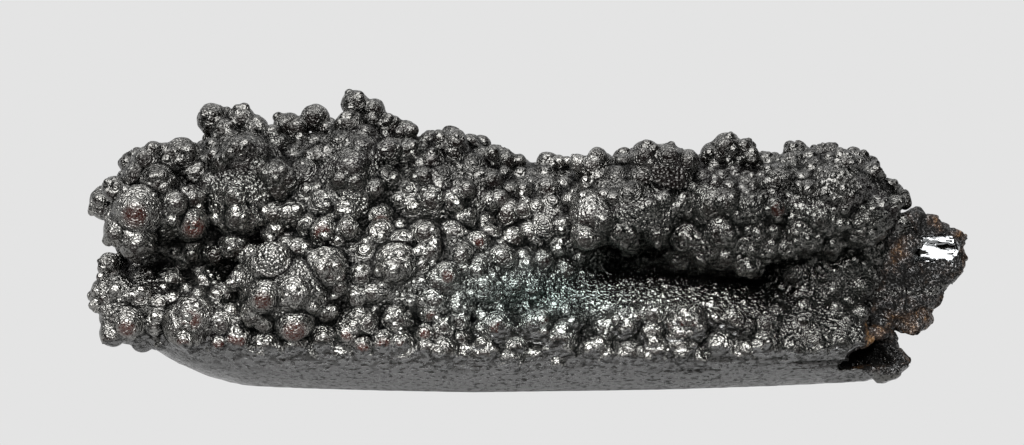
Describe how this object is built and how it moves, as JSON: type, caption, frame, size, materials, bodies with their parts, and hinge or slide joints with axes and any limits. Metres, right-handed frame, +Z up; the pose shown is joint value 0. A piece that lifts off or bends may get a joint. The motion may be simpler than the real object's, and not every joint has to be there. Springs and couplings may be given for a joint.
{
  "type": "goethite specimen",
  "caption": "Long hand specimen of black botryoidal iron oxide: a crust of round globules over a smooth shell, broken open at one end, resting on a flat foot.",
  "frame": {"origin": "middle of the bounding box in plan, on the surface that the specimen rests on", "axes": "+X along the length towards the broken end, -Y towards the front that the picture shows, +Z up"},
  "size_m": [0.1606, 0.0516, 0.0514],
  "materials": {
    "goethite_crust": "gloss"
  },
  "bodies": {
    "root": {"goethite": "goethite_crust"}
  },
  "joints": []
}
